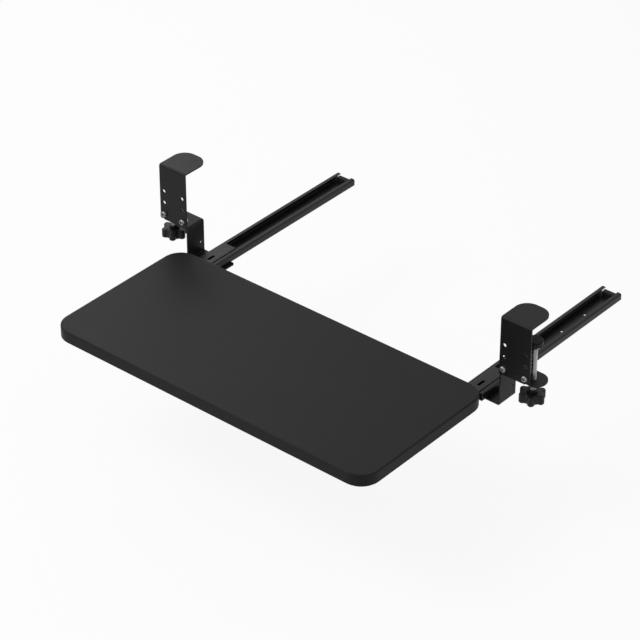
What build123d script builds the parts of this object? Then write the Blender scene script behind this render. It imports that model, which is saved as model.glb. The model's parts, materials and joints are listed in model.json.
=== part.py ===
from build123d import *
from math import pi
import os

# Tray that hangs from two screw clamps and slides out on ball bearing rails.
# All sizes are millimetres. X runs to the right, Y runs back and Z runs up. The origin is midway
# between the clamps, on the back faces of the hooks' webs and level with the pads' undersides.
# The tray is drawn pulled right out. Each clamp and rail is drawn on the right side and mirrored.

os.makedirs("parts", exist_ok=True)

# Tray board and where it hangs
tray_width = 604.0
tray_depth = 282.0
tray_thick = 20.0
tray_corner_radius = 32.0
tray_top_radius = 2.5
tray_bottom_radius = 1.2
tray_drop = 117.0            # pads' undersides down to the tray's top face
tray_setback = 23.0          # webs' back faces forward to the tray's back edge
side_gap = 2.5               # tray's side to the clamp's side plate
clamp_grip = 27.0            # thickness that the clamps are drawn closed on

# Bent steel of both brackets
steel = 2.3
bend_radius = 1.2            # inside radius of every bend

# Hook bracket: tongue on top, web down in front
hook_width = 54.0
hook_drop = 95.0             # pads' undersides down to the web's lower edge
tongue_depth = 54.0
tongue_corner_radius = 22.0
web_corner_cut = 8.0
pad_thick = 1.0              # foam pad under the tongue
pad_margin = 3.0

# Bolts that join the hook to the drop bracket, with spare rows for other thicknesses
bolt_radius = 3.0
bolt_hole_gap = 0.1
bolt_column_pitch = 38.0
bolt_row_pitch = 20.5
bolt_rows = 3
bolt_edge = 10.5             # web's lower edge up to the first row
bolt_head_radius = 5.0
bolt_head_height = 4.2
bolt_head_edge = 1.2
bolt_nut_flats = 10.0
bolt_nut_height = 3.2
bolt_end = 0.5               # thread past the nut

# Drop bracket: front flange, top flange, side plate and rail flange
bracket_depth = 38.0
front_flange_height = 20.0
flange_relief = 3.0          # slit between the front flange and the side plate's bend
round_end_inset = 5.0        # top flange's round end, its centre from the web's outer edge
flange_overhang = 5.5        # rail flange past the rail's inner side
flange_corner_radius = 4.0
side_hole_radius = 2.2
side_hole_from_back = 7.0
side_hole_drop = 39.0

# Clamp screw, weld nut, knob and swivel foot
screw_radius = 5.0
screw_pitch = 1.5
screw_gap = 0.06             # running gap in the tapped hole
screw_inset = 8.5            # screw's axis from the web's outer edge
screw_end_chamfer = 0.8
weld_nut_flats = 16.0
weld_nut_height = 6.0
knob_drop = 20.0             # top flange down to the knob's hub
knob_hub_radius = 8.0
knob_hub_height = 3.0
knob_core_radius = 15.4
knob_lobe_radius = 5.4
knob_lobes = 6
knob_height = 15.0
knob_web_radius = 3.5        # hollow between two lobes
knob_edge_radius = 2.2
knob_floor = 4.0             # plastic left under the screw's end
knob_wall = 3.0              # moulded wall round the hollow underneath
knob_boss_radius = 7.5
knob_hollow_depth = 9.0
knob_rib = 1.6
press_gap = 0.02
foot_radius = 12.5
foot_height = 11.0
foot_rim_height = 6.5
foot_neck_radius = 8.5
foot_flutes = 24
foot_flute_radius = 0.7
socket_gap = 0.3
ball_end_radius = 4.4
ball_end_neck = 3.3
ball_end_depth = 5.2         # ball centre above the foot's lower face
shoulder_gap = 0.8           # screw's shoulder below the foot
rubber_radius = 11.3
rubber_thick = 2.8
rubber_recess = 0.8

# Ball bearing rails
rail_inset = 37.0            # tray's side to the rail's centre line
rail_length = 350.0
runner_length = 330.0
rail_lead = 10.0             # fixed rail starts this far in front of the webs' back faces
rail_width = 37.0
rail_height = 12.6
rail_steel = 1.5
rail_lip = 7.2
rail_bend = 2.0
rail_hole_radius = 2.1
rail_spare_holes = 4
rail_screw_rows = (10.0, 32.0)
slide_height = 14.1          # rail flange up to the tray's underside
overlap = 66.0               # length that the two rails share when pulled out
runner_steel = 1.2
runner_neck = 10.9           # half the width between the fixed rail's lips
runner_skirt = 12.2          # half the width below the lips
runner_foot = 4.1            # lower edge above the rail flange
runner_bend = 0.7
runner_slot_length = 16.0
runner_slot_width = 4.8
runner_slot_from_end = 46.0
bearing_radius = 2.5
bearing_height = 6.8         # ball centres above the rail flange
bearing_offset = 14.5        # ball centres from the rail's centre line
bearing_gap = 0.3            # ball to each raceway
bearing_count = 7
bearing_pitch = 8.0
cage_steel = 0.8
cage_hole_gap = 0.1
cage_bridge = 3.3            # bridge centre above the rail flange
cage_top = 10.6
cage_bend = 1.0
cage_end_gap = 4.0           # fixed rail's front end to the cage
stop_gap = 1.25              # cage to the stops at its two ends
stop_tab_width = 10.0
stop_tab_length = 1.5
stop_tab_top = 3.7
stop_crimp_reach = 2.4       # runner's stops out from its skirt
stop_crimp_height = 3.6
bumper_length = 8.0
bumper_width = 20.0
bumper_height = 11.0
bumper_inset = 2.0           # bumper in from the fixed rail's back end
bumper_edge = 1.5
bumper_stem_radius = 2.0

# Small screws
rail_screw_radius = 2.0
rail_screw_head_radius = 3.6
rail_screw_head_height = 0.9
rail_nut_flats = 7.0
rail_nut_height = 3.2
rail_screw_end = 0.8
wood_screw_radius = 1.75
wood_screw_head_radius = 3.9
wood_screw_head_height = 2.0
wood_screw_length = 14.0     # from the tray's underside up
wood_screw_tip = 3.0
wood_screw_gap = 0.05
wood_screw_rows = 3
wood_screw_end = 23.5        # outer screws from the runner's front and the tray's back edge

# Levels and stations worked out from the sizes above
tray_top = -tray_drop
tray_bottom = tray_top - tray_thick
tray_back = -tray_setback
tray_middle = tray_back - tray_depth / 2
rail_seat = tray_bottom - slide_height       # top face of the rail flange
web_bottom = -hook_drop
plate_inner = tray_width / 2 + side_gap
web_outer = plate_inner + hook_width
web_middle = plate_inner + hook_width / 2
screw_x = web_outer - screw_inset
screw_y = bracket_depth / 2
round_end_x = web_outer - round_end_inset
rail_x = tray_width / 2 - rail_inset
rail_front = -rail_lead
runner_back = rail_front + overlap
runner_front = runner_back - runner_length
bend_line = bend_radius + steel / 2          # bend radius at mid thickness
foot_top = -clamp_grip
foot_base = foot_top - rubber_thick + rubber_recess - foot_height
foot_upper = foot_base + foot_height
ball_end_z = foot_base + ball_end_depth
hub_top = web_bottom - knob_drop
knob_top = hub_top - knob_hub_height
knob_bottom = knob_top - knob_height
screw_bottom = knob_bottom + knob_floor
wood_screw_span = tray_back - runner_front - 2 * wood_screw_end
wood_screw_pitch = wood_screw_span / (wood_screw_rows - 1)
wood_screw_middle = (tray_back + runner_front) / 2
cage_front = rail_front + cage_end_gap
cage_length = bearing_count * bearing_pitch
bumper_front = rail_front + rail_length - bumper_inset - bumper_length
bumper_middle = bumper_front + bumper_length / 2


def across(y):
    """Upright plane that faces forward, at this distance behind the webs' back faces."""
    return Plane.XZ.offset(-y)


def level(z):
    """Flat plane at this height."""
    return Plane.XY.offset(z)


def save(part, name):
    """Label one finished piece and write it."""
    part.label = name
    export_step(part, f"parts/{name}.step")


def save_pair(part, name):
    """Write the right hand piece and its mirror image."""
    save(part, f"right_{name}")
    save(mirror(part, about=Plane.YZ), f"left_{name}")


# Tray board, with pilot holes for the runners' wood screws
with BuildPart() as tray_board:
    with BuildSketch(level(tray_bottom)):
        with Locations((0, tray_middle)):
            RectangleRounded(tray_width, tray_depth, tray_corner_radius)
    extrude(amount=tray_thick)
    fillet(tray_board.faces().sort_by(Axis.Z)[-1].edges(), tray_top_radius)
    fillet(tray_board.faces().sort_by(Axis.Z)[0].edges(), tray_bottom_radius)
    with BuildSketch(level(tray_bottom)):
        with Locations((0, wood_screw_middle)):
            with GridLocations(2 * rail_x, wood_screw_pitch, 2, wood_screw_rows):
                Circle(wood_screw_radius + wood_screw_gap)
    extrude(amount=wood_screw_length, mode=Mode.SUBTRACT)
save(tray_board.part, "tray_board")

# Hook bracket: one strip bent at the top
tongue_middle = pad_thick + steel / 2

with BuildPart() as hook_bracket:
    with BuildSketch(Plane.YZ.offset(plate_inner)):
        with BuildLine():
            FilletPolyline(
                (-steel / 2, web_bottom),
                (-steel / 2, tongue_middle),
                (tongue_depth, tongue_middle),
                radius=bend_line,
            )
        trace(line_width=steel)
    extrude(amount=hook_width)
    tongue_corners = hook_bracket.edges().filter_by(Axis.Z).group_by(Axis.Y)[-1]
    fillet(tongue_corners, tongue_corner_radius)
    web_corner = hook_bracket.edges().filter_by(Axis.Y).group_by(Axis.Z)[0].sort_by(Axis.X)[-1]
    chamfer(web_corner, web_corner_cut)
    with BuildSketch(Plane.XZ):
        with Locations((web_middle, web_bottom + bolt_edge + (bolt_rows - 1) * bolt_row_pitch / 2)):
            with GridLocations(bolt_column_pitch, bolt_row_pitch, 2, bolt_rows):
                Circle(bolt_radius + bolt_hole_gap)
    extrude(amount=steel, mode=Mode.SUBTRACT)
save_pair(hook_bracket.part, "hook_bracket")

# Foam pad under the tongue
pad_depth = tongue_depth - bend_radius - 2 * pad_margin
pad_corner_radius = tongue_corner_radius - pad_margin

with BuildPart() as hook_pad:
    with BuildSketch(level(0)):
        with Locations((web_middle, bend_radius + pad_margin + pad_depth / 2)):
            Rectangle(hook_width - 2 * pad_margin, pad_depth)
    extrude(amount=pad_thick)
    pad_corners = hook_pad.edges().filter_by(Axis.Z).group_by(Axis.Y)[-1]
    fillet(pad_corners, pad_corner_radius)
save_pair(hook_pad.part, "hook_pad")

# Drop bracket: one blank with a front flange bolted behind the web, a top flange with a round
# end for the clamp screw, a side plate down past the tray and a flange turned in under the rail
flange_front = steel + bend_radius           # where the top flange's flat part starts
flange_end = rail_x - rail_width / 2 - flange_overhang
flange_flat = round_end_x - plate_inner - steel - bend_radius

with BuildPart() as drop_bracket:
    with BuildSketch(Plane.YZ.offset(plate_inner + steel + flange_relief)):
        with BuildLine():
            FilletPolyline(
                (steel / 2, web_bottom + front_flange_height),
                (steel / 2, web_bottom - steel / 2),
                (2 * flange_front, web_bottom - steel / 2),
                radius=bend_line,
            )
        trace(line_width=steel)
    extrude(amount=hook_width - steel - flange_relief)
    with BuildSketch(level(web_bottom - steel)):
        with Locations((round_end_x, screw_y)):
            Circle(bracket_depth / 2)
        with Locations((round_end_x - flange_flat / 2, screw_y)):
            Rectangle(flange_flat, bracket_depth)
        with Locations((web_outer, 0)):
            Rectangle(hook_width, 2 * flange_front, align=(Align.MAX, Align.CENTER), mode=Mode.SUBTRACT)
    extrude(amount=steel)
    with BuildSketch(across(0)):
        with BuildLine():
            FilletPolyline(
                (plate_inner + 2 * steel + bend_radius, web_bottom - steel / 2),
                (plate_inner + steel / 2, web_bottom - steel / 2),
                (plate_inner + steel / 2, rail_seat - steel / 2),
                (flange_end, rail_seat - steel / 2),
                radius=bend_line,
            )
        trace(line_width=steel)
    extrude(amount=-bracket_depth)
    flange_corners = drop_bracket.edges().filter_by(Axis.Z).group_by(Axis.X)[0]
    fillet(flange_corners, flange_corner_radius)
    with BuildSketch(Plane.XZ):
        with Locations((web_middle, web_bottom + bolt_edge)):
            with GridLocations(bolt_column_pitch, bolt_row_pitch, 2, 1):
                Circle(bolt_radius + bolt_hole_gap)
    extrude(amount=-steel, mode=Mode.SUBTRACT)
    with BuildSketch(level(web_bottom)):
        with Locations((screw_x, screw_y)):
            Circle(screw_radius + screw_gap)
    extrude(amount=-steel, mode=Mode.SUBTRACT)
    with BuildSketch(level(rail_seat)):
        with Locations(*[(rail_x, y) for y in rail_screw_rows]):
            Circle(rail_hole_radius)
    extrude(amount=-steel, mode=Mode.SUBTRACT)
    with BuildSketch(Plane.YZ.offset(plate_inner)):
        with Locations((bracket_depth - side_hole_from_back, web_bottom - side_hole_drop)):
            Circle(side_hole_radius)
    extrude(amount=steel, mode=Mode.SUBTRACT)
save_pair(drop_bracket.part, "drop_bracket")

# Two bolts and their nuts in the lowest row
with BuildPart() as hook_bolts:
    with BuildSketch(across(-steel)):
        with Locations((web_middle, web_bottom + bolt_edge)):
            with GridLocations(bolt_column_pitch, bolt_row_pitch, 2, 1):
                Circle(bolt_head_radius)
    extrude(amount=bolt_head_height)
    fillet(hook_bolts.edges().group_by(Axis.Y)[0], bolt_head_edge)
    with BuildSketch(across(-steel)):
        with Locations((web_middle, web_bottom + bolt_edge)):
            with GridLocations(bolt_column_pitch, bolt_row_pitch, 2, 1):
                Circle(bolt_radius)
    extrude(amount=-(2 * steel + bolt_nut_height + bolt_end))
save_pair(hook_bolts.part, "hook_bolts")

with BuildPart() as hook_nuts:
    with BuildSketch(across(steel)):
        with Locations((web_middle, web_bottom + bolt_edge)):
            with GridLocations(bolt_column_pitch, bolt_row_pitch, 2, 1):
                RegularPolygon(bolt_nut_flats / 2, 6, major_radius=False)
                Circle(bolt_radius + press_gap, mode=Mode.SUBTRACT)
    extrude(amount=-bolt_nut_height)
save_pair(hook_nuts.part, "hook_nuts")

# Weld nut under the top flange
with BuildPart() as weld_nut:
    with BuildSketch(level(web_bottom - steel)):
        with Locations((screw_x, screw_y)):
            RegularPolygon(weld_nut_flats / 2, 6, major_radius=False)
            Circle(screw_radius + screw_gap, mode=Mode.SUBTRACT)
    extrude(amount=-weld_nut_height)
save_pair(weld_nut.part, "weld_nut")

# Clamp screw: rod with a turned neck and a ball end
screw_axis = Axis((screw_x, screw_y, 0), (0, 0, 1))
shoulder = foot_base - shoulder_gap

with BuildPart() as clamp_screw:
    with BuildSketch(Plane(origin=(screw_x, screw_y, 0), x_dir=(1, 0, 0), z_dir=(0, -1, 0))):
        with BuildLine():
            Polyline(
                (0, screw_bottom),
                (screw_radius - screw_end_chamfer, screw_bottom),
                (screw_radius, screw_bottom + screw_end_chamfer),
                (screw_radius, shoulder - screw_end_chamfer),
                (screw_radius - screw_end_chamfer, shoulder),
                (ball_end_neck, shoulder),
                (ball_end_neck, ball_end_z),
                (0, ball_end_z),
                close=True,
            )
        make_face()
    revolve(axis=screw_axis)
    with Locations((screw_x, screw_y, ball_end_z)):
        Sphere(ball_end_radius)
save_pair(clamp_screw.part, "clamp_screw")

# Star knob, moulded on the screw's lower end
with BuildPart() as clamp_knob:
    with BuildSketch(level(knob_bottom)) as knob_outline:
        with Locations((screw_x, screw_y)):
            Circle(knob_core_radius)
            with PolarLocations(knob_core_radius, knob_lobes):
                Circle(knob_lobe_radius)
        fillet(knob_outline.vertices(), knob_web_radius)
    extrude(amount=knob_height)
    fillet(clamp_knob.faces().sort_by(Axis.Z)[-1].edges(), knob_edge_radius)
    fillet(clamp_knob.faces().sort_by(Axis.Z)[0].edges(), knob_edge_radius)
    with BuildSketch(level(knob_top)):
        with Locations((screw_x, screw_y)):
            Circle(knob_hub_radius)
    extrude(amount=knob_hub_height)
    with BuildSketch(level(hub_top)):
        with Locations((screw_x, screw_y)):
            Circle(screw_radius + press_gap)
    extrude(amount=screw_bottom - hub_top, mode=Mode.SUBTRACT)
    with BuildSketch(level(knob_bottom)):
        with Locations((screw_x, screw_y)):
            Circle(knob_core_radius - knob_wall)
            Circle(knob_boss_radius, mode=Mode.SUBTRACT)
            with PolarLocations(0, knob_lobes // 2):
                Rectangle(2 * knob_core_radius, knob_rib, mode=Mode.SUBTRACT)
    extrude(amount=knob_hollow_depth, mode=Mode.SUBTRACT)
save_pair(clamp_knob.part, "clamp_knob")

# Swivel foot with a fluted rim, and the socket that snaps over the ball end
with BuildPart() as swivel_foot:
    with BuildSketch(Plane(origin=(screw_x, screw_y, 0), x_dir=(1, 0, 0), z_dir=(0, -1, 0))):
        with BuildLine():
            Polyline(
                (0, foot_base),
                (foot_neck_radius, foot_base),
                (foot_radius, foot_upper - foot_rim_height),
                (foot_radius, foot_upper),
                (rubber_radius, foot_upper),
                (rubber_radius, foot_upper - rubber_recess),
                (0, foot_upper - rubber_recess),
                close=True,
            )
        make_face()
    revolve(axis=screw_axis)
    with BuildSketch(level(foot_base)):
        with Locations((screw_x, screw_y)):
            with PolarLocations(foot_radius, foot_flutes):
                Circle(foot_flute_radius)
    extrude(amount=foot_height, mode=Mode.SUBTRACT)
    with Locations((screw_x, screw_y, ball_end_z)):
        Sphere(ball_end_radius + socket_gap, mode=Mode.SUBTRACT)
    with BuildSketch(level(foot_base)):
        with Locations((screw_x, screw_y)):
            Circle(ball_end_neck + socket_gap)
    extrude(amount=ball_end_depth, mode=Mode.SUBTRACT)
save_pair(swivel_foot.part, "swivel_foot")

with BuildPart() as foot_rubber:
    with BuildSketch(level(foot_top - rubber_thick)):
        with Locations((screw_x, screw_y)):
            Circle(rubber_radius - press_gap)
    extrude(amount=rubber_thick)
    chamfer(foot_rubber.faces().sort_by(Axis.Z)[-1].edges(), rubber_recess)
save_pair(foot_rubber.part, "foot_rubber")

# Fixed rail: rolled channel with lips and a groove for the balls on each side
rail_mid = rail_width / 2 - rail_steel / 2
rail_cap = rail_height - rail_steel / 2
lip_edge = rail_width / 2 - rail_lip
spare_pitch = (bumper_front - rail_screw_rows[-1]) / (rail_spare_holes + 1)

with BuildPart() as fixed_rail:
    with BuildSketch(Plane(origin=(rail_x, rail_front, rail_seat), x_dir=(1, 0, 0), z_dir=(0, -1, 0))):
        with BuildLine():
            FilletPolyline(
                (-lip_edge, rail_cap),
                (-rail_mid, rail_cap),
                (-rail_mid, rail_steel / 2),
                (rail_mid, rail_steel / 2),
                (rail_mid, rail_cap),
                (lip_edge, rail_cap),
                radius=rail_bend,
            )
        trace(line_width=rail_steel)
        with Locations((-bearing_offset, bearing_height), (bearing_offset, bearing_height)):
            Circle(bearing_radius + bearing_gap, mode=Mode.SUBTRACT)
    extrude(amount=-rail_length)
    with BuildSketch(level(rail_seat)):
        with Locations(*[(rail_x, y) for y in rail_screw_rows]):
            Circle(rail_hole_radius)
        with Locations((rail_x, (rail_screw_rows[-1] + bumper_front) / 2)):
            with GridLocations(spare_pitch, spare_pitch, 1, rail_spare_holes):
                Circle(rail_hole_radius)
        with Locations((rail_x, bumper_middle)):
            Circle(bumper_stem_radius + press_gap)
    extrude(amount=rail_steel, mode=Mode.SUBTRACT)
    with BuildSketch(level(rail_seat + rail_steel)):
        with Locations((rail_x, cage_front - stop_gap - stop_tab_length / 2)):
            Rectangle(stop_tab_width, stop_tab_length)
    extrude(amount=stop_tab_top - rail_steel)
save_pair(fixed_rail.part, "fixed_rail")

# Runner: the moving rail, screwed under the tray
neck_mid = runner_neck - runner_steel / 2
skirt_mid = runner_skirt - runner_steel / 2
runner_cap = slide_height - runner_steel / 2
stop_crimp_middle = runner_skirt + (stop_crimp_reach - runner_steel / 2) / 2
runner_stop = cage_front + cage_length + stop_gap
joggle_top = rail_height - rail_steel
joggle_bottom = joggle_top - (skirt_mid - neck_mid)

with BuildPart() as runner:
    with BuildSketch(Plane(origin=(rail_x, runner_front, rail_seat), x_dir=(1, 0, 0), z_dir=(0, -1, 0))):
        with BuildLine():
            FilletPolyline(
                (-skirt_mid, runner_foot),
                (-skirt_mid, joggle_bottom),
                (-neck_mid, joggle_top),
                (-neck_mid, runner_cap),
                (neck_mid, runner_cap),
                (neck_mid, joggle_top),
                (skirt_mid, joggle_bottom),
                (skirt_mid, runner_foot),
                radius=runner_bend,
            )
        trace(line_width=runner_steel)
        with Locations((-bearing_offset, bearing_height), (bearing_offset, bearing_height)):
            Circle(bearing_radius + bearing_gap, mode=Mode.SUBTRACT)
    extrude(amount=-runner_length)
    with BuildSketch(level(tray_bottom)):
        with Locations(
            (rail_x, runner_back - runner_slot_from_end),
            (rail_x, runner_front + runner_slot_from_end),
        ):
            SlotOverall(runner_slot_length, runner_slot_width, rotation=90)
        with Locations((rail_x, wood_screw_middle)):
            with GridLocations(wood_screw_pitch, wood_screw_pitch, 1, wood_screw_rows):
                Circle(rail_hole_radius)
    extrude(amount=-runner_steel, mode=Mode.SUBTRACT)
    with BuildSketch(Plane(origin=(rail_x, runner_stop, rail_seat), x_dir=(1, 0, 0), z_dir=(0, -1, 0))):
        with Locations((0, bearing_height)):
            with GridLocations(2 * stop_crimp_middle, 1, 2, 1):
                Rectangle(stop_crimp_reach + runner_steel / 2, stop_crimp_height)
    extrude(amount=-stop_tab_length)
save_pair(runner.part, "runner")

# Ball cage and its two rows of balls, half way between fixed rail and runner
ball_row = cage_front + cage_length / 2

with BuildPart() as ball_cage:
    with BuildSketch(Plane(origin=(rail_x, cage_front, rail_seat), x_dir=(1, 0, 0), z_dir=(0, -1, 0))):
        with BuildLine():
            FilletPolyline(
                (-bearing_offset, cage_top),
                (-bearing_offset, cage_bridge),
                (bearing_offset, cage_bridge),
                (bearing_offset, cage_top),
                radius=cage_bend,
            )
        trace(line_width=cage_steel)
    extrude(amount=-cage_length)
    with BuildSketch(Plane.YZ.offset(rail_x - rail_width / 2)):
        with Locations((ball_row, rail_seat + bearing_height)):
            with GridLocations(bearing_pitch, bearing_pitch, bearing_count, 1):
                Circle(bearing_radius + cage_hole_gap)
    extrude(amount=rail_width, mode=Mode.SUBTRACT)
save_pair(ball_cage.part, "ball_cage")

with BuildPart() as bearing_balls:
    with Locations((rail_x, ball_row, rail_seat + bearing_height)):
        with GridLocations(2 * bearing_offset, bearing_pitch, 2, bearing_count):
            Sphere(bearing_radius)
save_pair(bearing_balls.part, "bearing_balls")

# Rubber bumper that stops the runner at the back of the fixed rail
with BuildPart() as rail_bumper:
    with BuildSketch(level(rail_seat + rail_steel)):
        with Locations((rail_x, bumper_middle)):
            Rectangle(bumper_width, bumper_length)
    extrude(amount=bumper_height - rail_steel)
    fillet(rail_bumper.edges().filter_by(Axis.X).group_by(Axis.Z)[-1], bumper_edge)
    with BuildSketch(level(rail_seat + rail_steel)):
        with Locations((rail_x, bumper_middle)):
            Circle(bumper_stem_radius)
    extrude(amount=-rail_steel)
save_pair(rail_bumper.part, "rail_bumper")

# Screws and nuts that hold the fixed rail on the rail flange
with BuildPart() as rail_screws:
    with BuildSketch(level(rail_seat + rail_steel)):
        with Locations(*[(rail_x, y) for y in rail_screw_rows]):
            Circle(rail_screw_head_radius)
    extrude(amount=rail_screw_head_height)
    with BuildSketch(level(rail_seat + rail_steel)):
        with Locations(*[(rail_x, y) for y in rail_screw_rows]):
            Circle(rail_screw_radius)
    extrude(amount=-(rail_steel + steel + rail_nut_height + rail_screw_end))
save_pair(rail_screws.part, "rail_screws")

with BuildPart() as rail_nuts:
    with BuildSketch(level(rail_seat - steel)):
        with Locations(*[(rail_x, y) for y in rail_screw_rows]):
            RegularPolygon(rail_nut_flats / 2, 6, major_radius=False)
            Circle(rail_screw_radius + press_gap, mode=Mode.SUBTRACT)
    extrude(amount=-rail_nut_height)
save_pair(rail_nuts.part, "rail_nuts")

# Wood screws up through the runner into the tray
wood_screw_head = tray_bottom - runner_steel

with BuildPart() as tray_screws:
    with BuildSketch(level(wood_screw_head)):
        with Locations((rail_x, wood_screw_middle)):
            with GridLocations(wood_screw_pitch, wood_screw_pitch, 1, wood_screw_rows):
                Circle(wood_screw_head_radius)
    extrude(amount=-wood_screw_head_height)
    with BuildSketch(level(wood_screw_head)):
        with Locations((rail_x, wood_screw_middle)):
            with GridLocations(wood_screw_pitch, wood_screw_pitch, 1, wood_screw_rows):
                Circle(wood_screw_radius)
    extrude(amount=runner_steel + wood_screw_length - wood_screw_tip)
    chamfer(
        tray_screws.edges().group_by(Axis.Z)[-1],
        length=wood_screw_radius / 2,
    )
save_pair(tray_screws.part, "tray_screws")
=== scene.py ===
import bmesh
import bpy
import json
from math import atan2, cos, pi, radians, sin, tau
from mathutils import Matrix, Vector


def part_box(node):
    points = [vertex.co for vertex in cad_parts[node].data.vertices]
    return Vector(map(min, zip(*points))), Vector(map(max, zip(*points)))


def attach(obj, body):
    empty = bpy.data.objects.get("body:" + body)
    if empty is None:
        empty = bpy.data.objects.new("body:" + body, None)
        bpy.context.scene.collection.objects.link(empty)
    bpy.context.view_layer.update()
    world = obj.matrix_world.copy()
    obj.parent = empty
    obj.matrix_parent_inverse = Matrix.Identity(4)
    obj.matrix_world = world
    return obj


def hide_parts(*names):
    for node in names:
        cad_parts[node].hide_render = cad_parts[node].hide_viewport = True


# Sliding tray on two screw clamps: finishes, threads and small fasteners on the fixed CAD frame.
# Metres, in the CAD frame: X runs to the right, Y runs back and Z runs up.

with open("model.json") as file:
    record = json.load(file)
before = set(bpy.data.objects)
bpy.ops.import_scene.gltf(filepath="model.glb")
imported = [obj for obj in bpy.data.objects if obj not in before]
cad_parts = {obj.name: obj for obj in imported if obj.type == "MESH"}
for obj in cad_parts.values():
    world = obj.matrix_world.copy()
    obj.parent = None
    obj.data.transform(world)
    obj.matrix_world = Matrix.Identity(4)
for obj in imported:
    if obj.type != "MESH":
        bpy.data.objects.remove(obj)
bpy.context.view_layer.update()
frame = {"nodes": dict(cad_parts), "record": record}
nodes = frame["nodes"]

SIDES = ("left", "right")
MM = 0.001

# Rounded edges of folded and cut metal
EDGE_WIDTHS = {
    "hook_bracket": 0.3 * MM,
    "drop_bracket": 0.3 * MM,
    "hook_nuts": 0.4 * MM,
    "weld_nut": 0.5 * MM,
    "rail_nuts": 0.3 * MM,
}
EDGE_SEGMENTS = 2
EDGE_ANGLE = radians(50)             # only edges sharper than this are rounded

# Turned pieces
LATHE_STEPS = 40                     # points round a rod
HEAD_STEPS = 48                      # points round a screw or bolt
SMOOTH_ANGLE = radians(38)           # edges sharper than this stay sharp in the shading
MERGE_DISTANCE = 1e-7

# Clamp screw: rod with a rolled thread, plain shoulder, neck and ball end
ROD_STEPS = 28                       # points in one turn of the thread
ROD_BEVEL = 0.5 * MM
THREAD_PITCH = 1.5 * MM
THREAD_DEPTH = 0.75 * MM
THREAD_FOOT = 14 * MM                # thread's start above the rod's lower end, inside the knob
THREAD_RUNOUT = 1 * MM               # thread's end below the shoulder
THREAD_PROFILE = ((0.0, 1), (0.28, 0), (0.6, 0), (0.88, 1))  # shares of pitch and of depth
THREAD_MIDDLE = 0.4                  # share of the pitch that lies on the helix
SHOULDER_DROP = 10.4 * MM            # shoulder below the ball's top
SHOULDER_BEVEL = 0.4 * MM
NECK_RADIUS = 3.3 * MM
NECK_DROP = 2.9 * MM                 # neck's end below the ball's centre
BALL_RADIUS = 4.4 * MM
BALL_START = -41                     # degrees round the ball where the neck joins it
BALL_STEPS = 9

# Hook bolts: button heads with a hexagon socket
BOLT_RADIUS = 3.0 * MM
BOLT_BEVEL = 0.6 * MM
BOLT_HEAD = 4.2 * MM                 # head's height
BOLT_RIM = 0.9 * MM                  # straight part of the head, under its crown
BOLT_CROWN = radians(62)
BOLT_CROWN_TOP = 0.36                # share of the head's radius inside the crown's arc
BOLT_CROWN_STEPS = 7
SOCKET_MOUTH = 2.45 * MM             # radius of the countersink
SOCKET_FLAT = 2.0 * MM               # centre to flat at the top
SOCKET_FLAT_LOW = 1.95 * MM          # and at the bottom
SOCKET_LEAD = 0.35 * MM
SOCKET_DEPTH = 2.2 * MM
SOCKET_POINT = 2.7 * MM              # drilled point under the flats

# Pan head screws with a cross recess
RAIL_SCREW = 2.0 * MM                # shank radius
RAIL_HEAD = 0.9 * MM                 # head's height
RAIL_COUNT = 2
WOOD_SCREW = 1.75 * MM
WOOD_HEAD = 2.0 * MM
WOOD_COUNT = 3
SCREW_BEVEL = 0.35 * MM
PAN_RIM = 0.25                       # share of the head's height under its crown
PAN_CROWN = radians(68)
PAN_CROWN_TOP = 0.4
PAN_CROWN_STEPS = 5
CROSS_REACH = 0.56                   # share of the head's radius
CROSS_TAPER = 0.6                    # reach at the bottom against the top
CROSS_HALF = 0.42 * MM               # half an arm's width at the top
CROSS_HALF_LOW = 0.34 * MM           # and at the bottom
CROSS_DEEPEST = 1.5 * MM
CROSS_FLOOR = 0.7                    # shares of the recess's depth: where the arms end
CROSS_POINT = 0.9                    # and where the middle ends

# Camera at the photograph's viewing angle
CAMERA_AT = Vector((2.24262, -2.70689, 2.20907))
AZIMUTH = radians(40.07)
ELEVATION = radians(33.7)
LENS = 157.5                         # millimetres, as the sensor
SENSOR = 36.0
CLIP = (0.05, 60.0)

# Lamps: name, place, what it points at, width and height, watts
LAMPS = (
    ("key", (-1.5, -1.6, 2.4), (0, -0.1, -0.1), (1.6, 1.6), 60),
    ("right", (2.6, 0.5, 1.0), (0, -0.1, -0.1), (1.6, 1.2), 8),
    ("back", (-1.5, 0.75, 1.0), (-0.25, -0.2, -0.1), (0.7, 0.6), 5),
)

# Surroundings
WORLD_TONE = 0.5
WORLD_STRENGTH = 0.7
FLOOR_Z = -0.32                      # well below the knobs, also at the bottom of their lift
FLOOR_HALF = 12.0                    # half the floor's width
FLOOR_TONE = 0.9
FLOOR_ROUGHNESS = 0.9
FLOOR_GLOW = 0.9                     # share of plain white in what the camera sees of the floor

# Noise patterns: how rough they are, and the range in which most of their values lie
NOISE_ROUGHNESS = 0.55
NOISE_LOW, NOISE_HIGH = 0.3, 0.7


# Materials


def grey(tone):
    return (tone, tone, tone)


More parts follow.
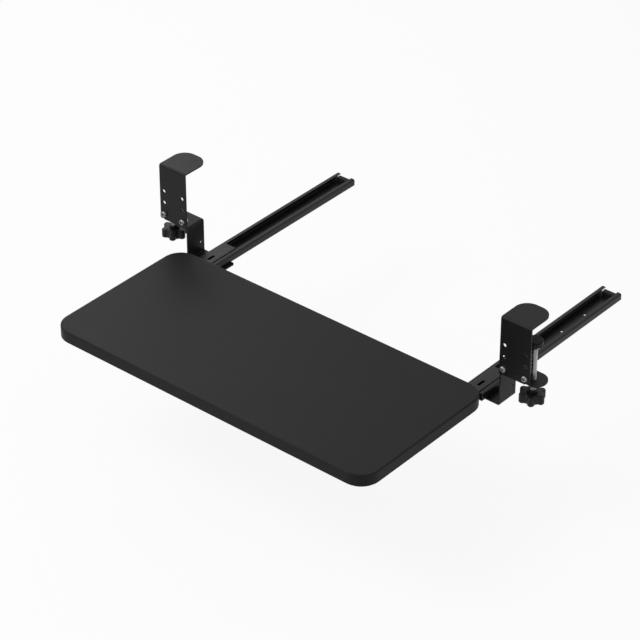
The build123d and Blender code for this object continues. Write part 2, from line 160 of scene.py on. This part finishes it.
class Shader:
    """A Principled material whose colour, roughness and bump come from object-space patterns."""

    def __init__(self, name, colour, roughness, metallic=0.0, specular=0.5):
        self.material = bpy.data.materials.new(name)
        self.material.use_nodes = True
        self.tree = self.material.node_tree
        self.bsdf = self.tree.nodes["Principled BSDF"]
        self.bsdf.inputs["Base Color"].default_value = (*colour, 1.0)
        self.bsdf.inputs["Roughness"].default_value = roughness
        self.bsdf.inputs["Metallic"].default_value = metallic
        self.bsdf.inputs["Specular IOR Level"].default_value = specular
        self.normal = None
        self.coord = self.new("ShaderNodeTexCoord").outputs["Object"]

    def new(self, kind, **settings):
        node = self.tree.nodes.new(kind)
        for key, value in settings.items():
            setattr(node, key, value)
        return node

    def link(self, a, b):
        self.tree.links.new(a, b)

    def mapped(self, stretch):
        """Object coordinates scaled by (x, y, z): a pattern is long where the scale is small."""
        node = self.new("ShaderNodeMapping")
        node.inputs["Scale"].default_value = stretch
        self.link(self.coord, node.inputs["Vector"])
        return node.outputs["Vector"]

    def noise(self, size, detail=3.0, stretch=(1, 1, 1)):
        """Noise whose blobs are about size across."""
        node = self.new("ShaderNodeTexNoise")
        node.inputs["Scale"].default_value = 1.0 / size
        node.inputs["Detail"].default_value = detail
        node.inputs["Roughness"].default_value = NOISE_ROUGHNESS
        self.link(self.mapped(stretch), node.inputs["Vector"])
        return node.outputs["Fac"]

    def cells(self, size):
        """Packed cells about size across."""
        node = self.new("ShaderNodeTexVoronoi", feature="F1")
        node.inputs["Scale"].default_value = 1.0 / size
        self.link(self.mapped((1, 1, 1)), node.inputs["Vector"])
        return node.outputs["Distance"]

    def colour(self, pattern, dark, light, low=NOISE_LOW, high=NOISE_HIGH):
        """Base colour from dark, where the pattern is low, to light, where it is high."""
        ramp = self.new("ShaderNodeValToRGB")
        stops = ((low, dark), (high, light))
        for element, (position, colour) in zip(ramp.color_ramp.elements, stops):
            element.position = position
            element.color = (*colour, 1.0)
        self.link(pattern, ramp.inputs["Fac"])
        self.link(ramp.outputs["Color"], self.bsdf.inputs["Base Color"])

    def roughness(self, pattern, low, high):
        """Roughness from low to high across a noise pattern."""
        node = self.new("ShaderNodeMapRange")
        node.inputs["From Min"].default_value = NOISE_LOW
        node.inputs["From Max"].default_value = NOISE_HIGH
        node.inputs["To Min"].default_value = low
        node.inputs["To Max"].default_value = high
        self.link(pattern, node.inputs["Value"])
        self.link(node.outputs["Result"], self.bsdf.inputs["Roughness"])

    def bump(self, pattern, height):
        """Adds a bump of this height on top of the ones already there."""
        node = self.new("ShaderNodeBump")
        node.inputs["Strength"].default_value = 1.0
        node.inputs["Distance"].default_value = height
        self.link(pattern, node.inputs["Height"])
        if self.normal:
            self.link(self.normal, node.inputs["Normal"])
        self.normal = node.outputs["Normal"]
        self.link(self.normal, self.bsdf.inputs["Normal"])


def laminate():
    """Black melamine face with a fine pearl texture."""
    s = Shader("black_laminate", grey(0.009), 0.5, specular=0.12)
    s.colour(s.noise(45 * MM, detail=4.0), (0.0088, 0.0088, 0.0089), grey(0.0096))
    s.roughness(s.noise(2.5 * MM, detail=2.0), 0.49, 0.52)
    s.bump(s.noise(1.1 * MM, detail=2.0), 0.06 * MM)
    s.bump(s.noise(0.35 * MM, detail=1.0), 0.02 * MM)
    return s.material


def powder_coat(tone=0.011, rough=0.4):
    """Satin black powder coat over steel, with a fine orange peel."""
    s = Shader("powder_coat", grey(tone), rough, specular=0.12)
    s.colour(s.noise(20 * MM), grey(tone * 0.95), grey(tone * 1.06))
    s.roughness(s.noise(2 * MM, detail=2.0), rough - 0.03, rough + 0.03)
    s.bump(s.noise(1.6 * MM, detail=2.0), 0.04 * MM)
    s.bump(s.noise(0.4 * MM, detail=1.0), 0.012 * MM)
    return s.material


def rolled_black(name, tone, rough):
    """Black plated strip, with faint rolling lines along the rail."""
    s = Shader(name, grey(tone), rough, specular=0.2)
    lines = s.noise(0.9 * MM, stretch=(1.0, 0.012, 1.0))
    s.colour(lines, grey(tone * 0.8), grey(tone * 1.35), high=0.72)
    patches = s.noise(3 * MM, stretch=(1.0, 0.05, 1.0))
    s.roughness(patches, rough - 0.07, rough + 0.08)
    s.bump(lines, 0.02 * MM)
    return s.material


def bright_zinc():
    """Zinc plate with a soft spangle and faint blue cast."""
    s = Shader("bright_zinc", (0.22, 0.225, 0.23), 0.38, metallic=1.0)
    s.colour(s.noise(2.5 * MM, detail=4.0), (0.18, 0.185, 0.19), (0.27, 0.27, 0.275))
    s.roughness(s.noise(1.2 * MM), 0.32, 0.46)
    s.bump(s.noise(0.6 * MM, detail=2.0), 0.01 * MM)
    return s.material


def plated_screw():
    """Bright nickel plate with fine turning marks round the rod."""
    s = Shader("plated_screw", (0.4, 0.4, 0.41), 0.24, metallic=1.0)
    marks = s.noise(0.8 * MM, stretch=(0.2, 0.2, 3.0))
    s.colour(marks, (0.35, 0.35, 0.36), (0.45, 0.45, 0.46))
    s.roughness(s.noise(2 * MM), 0.2, 0.3)
    s.bump(marks, 0.006 * MM)
    return s.material


def moulded_black(name, tone, rough, grain, height):
    """Moulded plastic or rubber with a spark-eroded grain."""
    s = Shader(name, grey(tone), rough, specular=0.2)
    s.colour(s.noise(8 * MM), grey(tone * 0.85), grey(tone * 1.2))
    s.roughness(s.noise(grain * 4, detail=2.0), rough - 0.05, rough + 0.07)
    s.bump(s.noise(grain, detail=2.0), height)
    return s.material


def cell_foam():
    """Closed-cell foam: packed small cells."""
    cell = 0.8 * MM
    s = Shader("pad_foam", grey(0.02), 0.85, specular=0.2)
    # Painted shade: the colour is darkest in the middle of each cell, where the bump sinks into a
    # pit, and lighter on the ridges between cells.
    s.colour(s.cells(cell), grey(0.012), grey(0.03), low=0.1, high=0.6)
    s.roughness(s.noise(2 * MM), 0.78, 0.92)
    s.bump(s.cells(cell), 0.12 * MM)
    return s.material


ZINC = bright_zinc()
PLATED = plated_screw()

# The finish of each material slot in the record
FINISH = {
    "black_laminate": laminate(),
    "coated_steel": powder_coat(),
    "rail_steel": rolled_black("rail_black", tone=0.009, rough=0.34),
    "runner_steel": rolled_black("runner_black", tone=0.014, rough=0.3),
    "cage_steel": ZINC,
    "ball_steel": PLATED,
    "screw_steel": PLATED,
    "zinc": ZINC,
    "knob_plastic": moulded_black("knob_plastic", 0.006, 0.38, 0.7 * MM, 0.04 * MM),
    "foot_plastic": moulded_black("foot_plastic", 0.006, 0.4, 0.6 * MM, 0.03 * MM),
    "rubber": moulded_black("rubber", 0.01, 0.68, 0.9 * MM, 0.05 * MM),
    "foam": cell_foam(),
}


def dress(node, material):
    """Puts one finish on a CAD node."""
    data = nodes[node].data
    data.materials.clear()
    data.materials.append(material)


def soften(node, width):
    """Rounds a CAD node's sharp edges with a bevel, as folded or cut metal has."""
    bevel = nodes[node].modifiers.new("edge", "BEVEL")
    bevel.width = width
    bevel.segments = EDGE_SEGMENTS
    bevel.limit_method = "ANGLE"
    bevel.angle_limit = EDGE_ANGLE
    bevel.harden_normals = False


for part in frame["record"]["subparts"]:
    dress(part["node"], FINISH[part["material_slot"]])

for side in SIDES:
    for piece, width in EDGE_WIDTHS.items():
        soften(f"{side}_{piece}", width)


# Turned and threaded pieces


def mesh_object(name, shape, body, slot):
    """Turns a bmesh into a piece with its slot's finish that rides on a body."""
    mesh = bpy.data.meshes.new(name)
    bmesh.ops.remove_doubles(shape, verts=shape.verts, dist=MERGE_DISTANCE)
    bmesh.ops.recalc_face_normals(shape, faces=shape.faces)
    shape.to_mesh(mesh)
    shape.free()
    for face in mesh.polygons:
        face.use_smooth = True
    mesh.set_sharp_from_angle(angle=SMOOTH_ANGLE)
    mesh.materials.append(FINISH[slot])
    piece = bpy.data.objects.new(name, mesh)
    bpy.context.scene.collection.objects.link(piece)
    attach(piece, body)
    return piece


def add_thread(shape, start, radius, length):
    """A helical thread of trapezoid section up from start, fading out at both ends."""
    count = int(length / THREAD_PITCH * ROD_STEPS)
    rings = []
    for k in range(count + 1):
        angle = tau * k / ROD_STEPS
        along = THREAD_PITCH * k / ROD_STEPS
        fade = min(1.0, k / ROD_STEPS, (count - k) / ROD_STEPS)
        ring = []
        for part, drop in THREAD_PROFILE:
            reach = radius - THREAD_DEPTH + THREAD_DEPTH * (1 - drop) * fade
            height = min(max(along + (part - THREAD_MIDDLE) * THREAD_PITCH, 0.0), length)
            point = Vector((reach * cos(angle), reach * sin(angle), height))
            ring.append(shape.verts.new(start + point))
        rings.append(ring)
    for a, b in zip(rings, rings[1:]):
        for i in range(len(THREAD_PROFILE) - 1):
            shape.faces.new((a[i], a[i + 1], b[i + 1], b[i]))
    # The root between one turn and the next
    for k in range(count - ROD_STEPS):
        above = k + ROD_STEPS
        shape.faces.new((rings[k][-1], rings[above][0], rings[above + 1][0], rings[k + 1][-1]))


def add_lathe(shape, start, axis, outline, steps):
    """A turned solid: outline is (radius, height) pairs along axis from start, closed on the axis.

    A radius may also be a function of the angle, as for a hexagon or a cross.
    """
    up = Vector(axis)
    x = Vector((1, 0, 0))
    y = up.cross(x)
    rings = []
    for radius, height in outline:
        middle = Vector(start) + up * height
        if radius == 0:
            rings.append([shape.verts.new(middle)] * steps)
            continue
        ring = []
        for k in range(steps):
            angle = tau * k / steps
            reach = radius(angle) if callable(radius) else radius
            ring.append(shape.verts.new(middle + (x * cos(angle) + y * sin(angle)) * reach))
        rings.append(ring)
    for a, b in zip(rings, rings[1:]):
        for k in range(steps):
            corners = [a[k], a[(k + 1) % steps], b[(k + 1) % steps], b[k]]
            corners = [v for i, v in enumerate(corners) if v not in corners[:i]]
            if len(corners) > 2:
                shape.faces.new(corners)


def crown(radius, top, base, rise, sweep, steps):
    """Outline of a head's domed top, which narrows from radius as it rises from base."""
    points = []
    for k in range(1, steps + 1):
        angle = sweep * k / steps
        reach = radius * (top + (1 - top) * cos(angle))
        points.append((reach, base + rise * sin(angle) / sin(sweep)))
    return points


def hexagon(flat):
    """Radius of a hexagon with this distance from its centre to each flat."""
    return lambda angle: flat / cos((angle + pi / 6) % (pi / 3) - pi / 6)


def cross(reach, half):
    """Radius of a cross recess with arms of this reach and half width."""
    def radius(angle):
        off = abs((angle + pi / 4) % (pi / 2) - pi / 4)
        return reach / cos(off) if off < atan2(half, reach) else half / sin(off)
    return radius


def clamp_screw(side):
    """Rod with a rolled thread from the knob up to its plain shoulder, neck and ball end."""
    node = f"{side}_clamp_screw"
    low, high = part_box(node)
    axis = Vector(((low.x + high.x) / 2, (low.y + high.y) / 2, 0))
    radius = (high.x - low.x) / 2
    root = radius - THREAD_DEPTH
    bottom, top = low.z, high.z
    shoulder = top - SHOULDER_DROP
    ball = top - BALL_RADIUS
    outline = [
        (0, bottom),
        (root - ROD_BEVEL, bottom),
        (root, bottom + ROD_BEVEL),
        (root, shoulder - SHOULDER_BEVEL),
        (root - SHOULDER_BEVEL, shoulder),
        (NECK_RADIUS, shoulder),
        (NECK_RADIUS, ball - NECK_DROP),
    ]
    for k in range(BALL_STEPS):
        angle = radians(BALL_START + (90 - BALL_START) * k / BALL_STEPS)
        outline.append((BALL_RADIUS * cos(angle), ball + BALL_RADIUS * sin(angle)))
    outline.append((0, top))
    shape = bmesh.new()
    add_lathe(shape, axis, (0, 0, 1), outline, LATHE_STEPS)
    foot = bottom + THREAD_FOOT
    add_thread(shape, axis + Vector((0, 0, foot)), radius, shoulder - THREAD_RUNOUT - foot)
    piece = mesh_object(f"{side}_threaded_rod", shape, f"{side}_screw", "screw_steel")
    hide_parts(node)


def hook_bolts(side):
    """Button heads with a hexagon socket, on shanks that end just past the nuts."""
    node = f"{side}_hook_bolts"
    low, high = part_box(node)
    head = (high.z - low.z) / 2
    length = high.y - low.y
    seat = length - BOLT_HEAD
    rim = seat + BOLT_RIM
    outline = [
        (0, 0),
        (BOLT_RADIUS - BOLT_BEVEL, 0),
        (BOLT_RADIUS, BOLT_BEVEL),
        (BOLT_RADIUS, seat),
        (head, seat),
        (head, rim),
        *crown(head, BOLT_CROWN_TOP, rim, BOLT_HEAD - BOLT_RIM, BOLT_CROWN, BOLT_CROWN_STEPS),
        (SOCKET_MOUTH, length),
        (hexagon(SOCKET_FLAT), length - SOCKET_LEAD),
        (hexagon(SOCKET_FLAT_LOW), length - SOCKET_DEPTH),
        (0, length - SOCKET_POINT),
    ]
    shape = bmesh.new()
    for x in (low.x + head, high.x - head):
        start = (x, high.y, (low.z + high.z) / 2)
        add_lathe(shape, start, (0, -1, 0), outline, HEAD_STEPS)
    piece = mesh_object(f"{side}_socket_bolts", shape, "brackets", "zinc")
    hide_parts(node)


def recessed_screws(node, name, body, radius, head_height, count, up):
    """A row of pan heads with a cross recess; up is 1 for heads on top, -1 for heads below."""
    low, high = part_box(node)
    head = (high.x - low.x) / 2
    length = high.z - low.z
    seat = length - head_height
    rim = head_height * PAN_RIM
    reach = head * CROSS_REACH
    depth = min(head_height, CROSS_DEEPEST)
    outline = [
        (0, 0),
        (radius - SCREW_BEVEL, 0),
        (radius, SCREW_BEVEL),
        (radius, seat),
        (head, seat),
        (head, seat + rim),
        *crown(head, PAN_CROWN_TOP, seat + rim, head_height - rim, PAN_CROWN, PAN_CROWN_STEPS),
        (cross(reach, CROSS_HALF), length),
        (cross(reach * CROSS_TAPER, CROSS_HALF_LOW), length - depth * CROSS_FLOOR),
        (0, length - depth * CROSS_POINT),
    ]
    first, last = low.y + head, high.y - head
    shape = bmesh.new()
    for k in range(count):
        y = first + (last - first) * k / (count - 1)
        start = ((low.x + high.x) / 2, y, low.z if up > 0 else high.z)
        add_lathe(shape, start, (0, 0, up), outline, HEAD_STEPS)
    piece = mesh_object(name, shape, body, "zinc")
    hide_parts(node)


for side in SIDES:
    clamp_screw(side)
    hook_bolts(side)
    recessed_screws(f"{side}_rail_screws", f"{side}_cross_screws", "brackets",
                    RAIL_SCREW, RAIL_HEAD, RAIL_COUNT, 1)
    recessed_screws(f"{side}_tray_screws", f"{side}_wood_screws", "tray",
                    WOOD_SCREW, WOOD_HEAD, WOOD_COUNT, -1)


# Camera, light and floor


def make_camera():
    data = bpy.data.cameras.new("camera")
    data.lens = LENS
    data.sensor_width = SENSOR
    data.clip_start, data.clip_end = CLIP
    camera = bpy.data.objects.new("camera", data)
    bpy.context.scene.collection.objects.link(camera)
    back = Vector((sin(AZIMUTH) * cos(ELEVATION), -cos(AZIMUTH) * cos(ELEVATION), sin(ELEVATION)))
    camera.location = CAMERA_AT
    camera.rotation_mode = "QUATERNION"
    camera.rotation_quaternion = back.to_track_quat("Z", "Y")
    bpy.context.scene.camera = camera


def area_light(name, location, target, size, energy):
    data = bpy.data.lights.new(name, "AREA")
    data.shape = "RECTANGLE"
    data.size, data.size_y = size
    data.energy = energy
    light = bpy.data.objects.new(name, data)
    bpy.context.scene.collection.objects.link(light)
    light.location = location
    direction = Vector(target) - Vector(location)
    light.rotation_mode = "QUATERNION"
    light.rotation_quaternion = direction.to_track_quat("-Z", "Y")


def seen_rays(tree, share):
    """This share for camera, glossy and transmission rays, and 0 for the rest."""
    path = tree.nodes.new("ShaderNodeLightPath")
    total = path.outputs["Is Camera Ray"]
    for name in ("Is Glossy Ray", "Is Transmission Ray"):
        either = tree.nodes.new("ShaderNodeMath")
        either.operation = "MAXIMUM"
        tree.links.new(total, either.inputs[0])
        tree.links.new(path.outputs[name], either.inputs[1])
        total = either.outputs[0]
    scale = tree.nodes.new("ShaderNodeMath")
    scale.operation = "MULTIPLY"
    scale.inputs[1].default_value = share
    tree.links.new(total, scale.inputs[0])
    return scale.outputs[0]


def mix_shaders(tree, share, first, second):
    """Mix of two shader outputs, all second where share is 1."""
    node = tree.nodes.new("ShaderNodeMixShader")
    tree.links.new(share, node.inputs["Fac"])
    tree.links.new(first, node.inputs[1])
    tree.links.new(second, node.inputs[2])
    return node.outputs["Shader"]


def make_world():
    """Grey light all round, white where the camera looks past the floor."""
    world = bpy.data.worlds.new("studio")
    world.use_nodes = True
    tree = world.node_tree
    background = tree.nodes["Background"]
    background.inputs["Color"].default_value = (*grey(WORLD_TONE), 1)
    background.inputs["Strength"].default_value = WORLD_STRENGTH
    white = tree.nodes.new("ShaderNodeBackground")
    white.inputs["Color"].default_value = (1, 1, 1, 1)
    seen = mix_shaders(tree, seen_rays(tree, 1.0),
                       background.outputs["Background"], white.outputs["Background"])
    tree.links.new(seen, tree.nodes["World Output"].inputs["Surface"])
    bpy.context.scene.world = world


def floor_material():
    """Pale floor that keeps the shadow, and is clear when seen from below."""
    material = bpy.data.materials.new("floor_white")
    material.use_nodes = True
    tree = material.node_tree
    bsdf = tree.nodes["Principled BSDF"]
    bsdf.inputs["Base Color"].default_value = (*grey(FLOOR_TONE), 1)
    bsdf.inputs["Roughness"].default_value = FLOOR_ROUGHNESS
    glow = tree.nodes.new("ShaderNodeEmission")
    glow.inputs["Strength"].default_value = 1.0
    clear = tree.nodes.new("ShaderNodeBsdfTransparent")
    backfacing = tree.nodes.new("ShaderNodeNewGeometry").outputs["Backfacing"]
    above = mix_shaders(tree, seen_rays(tree, FLOOR_GLOW),
                        bsdf.outputs["BSDF"], glow.outputs["Emission"])
    surface = mix_shaders(tree, backfacing, above, clear.outputs["BSDF"])
    tree.links.new(surface, tree.nodes["Material Output"].inputs["Surface"])
    return material


def make_floor():
    mesh = bpy.data.meshes.new("floor")
    shape = bmesh.new()
    bmesh.ops.create_grid(shape, x_segments=1, y_segments=1, size=FLOOR_HALF)
    shape.to_mesh(mesh)
    shape.free()
    mesh.materials.append(floor_material())
    floor = bpy.data.objects.new("floor", mesh)
    bpy.context.scene.collection.objects.link(floor)
    floor.location = (0, 0, FLOOR_Z)


make_camera()
make_world()
make_floor()
for lamp in LAMPS:
    area_light(*lamp)

bpy.context.scene.view_settings.view_transform = "Standard"
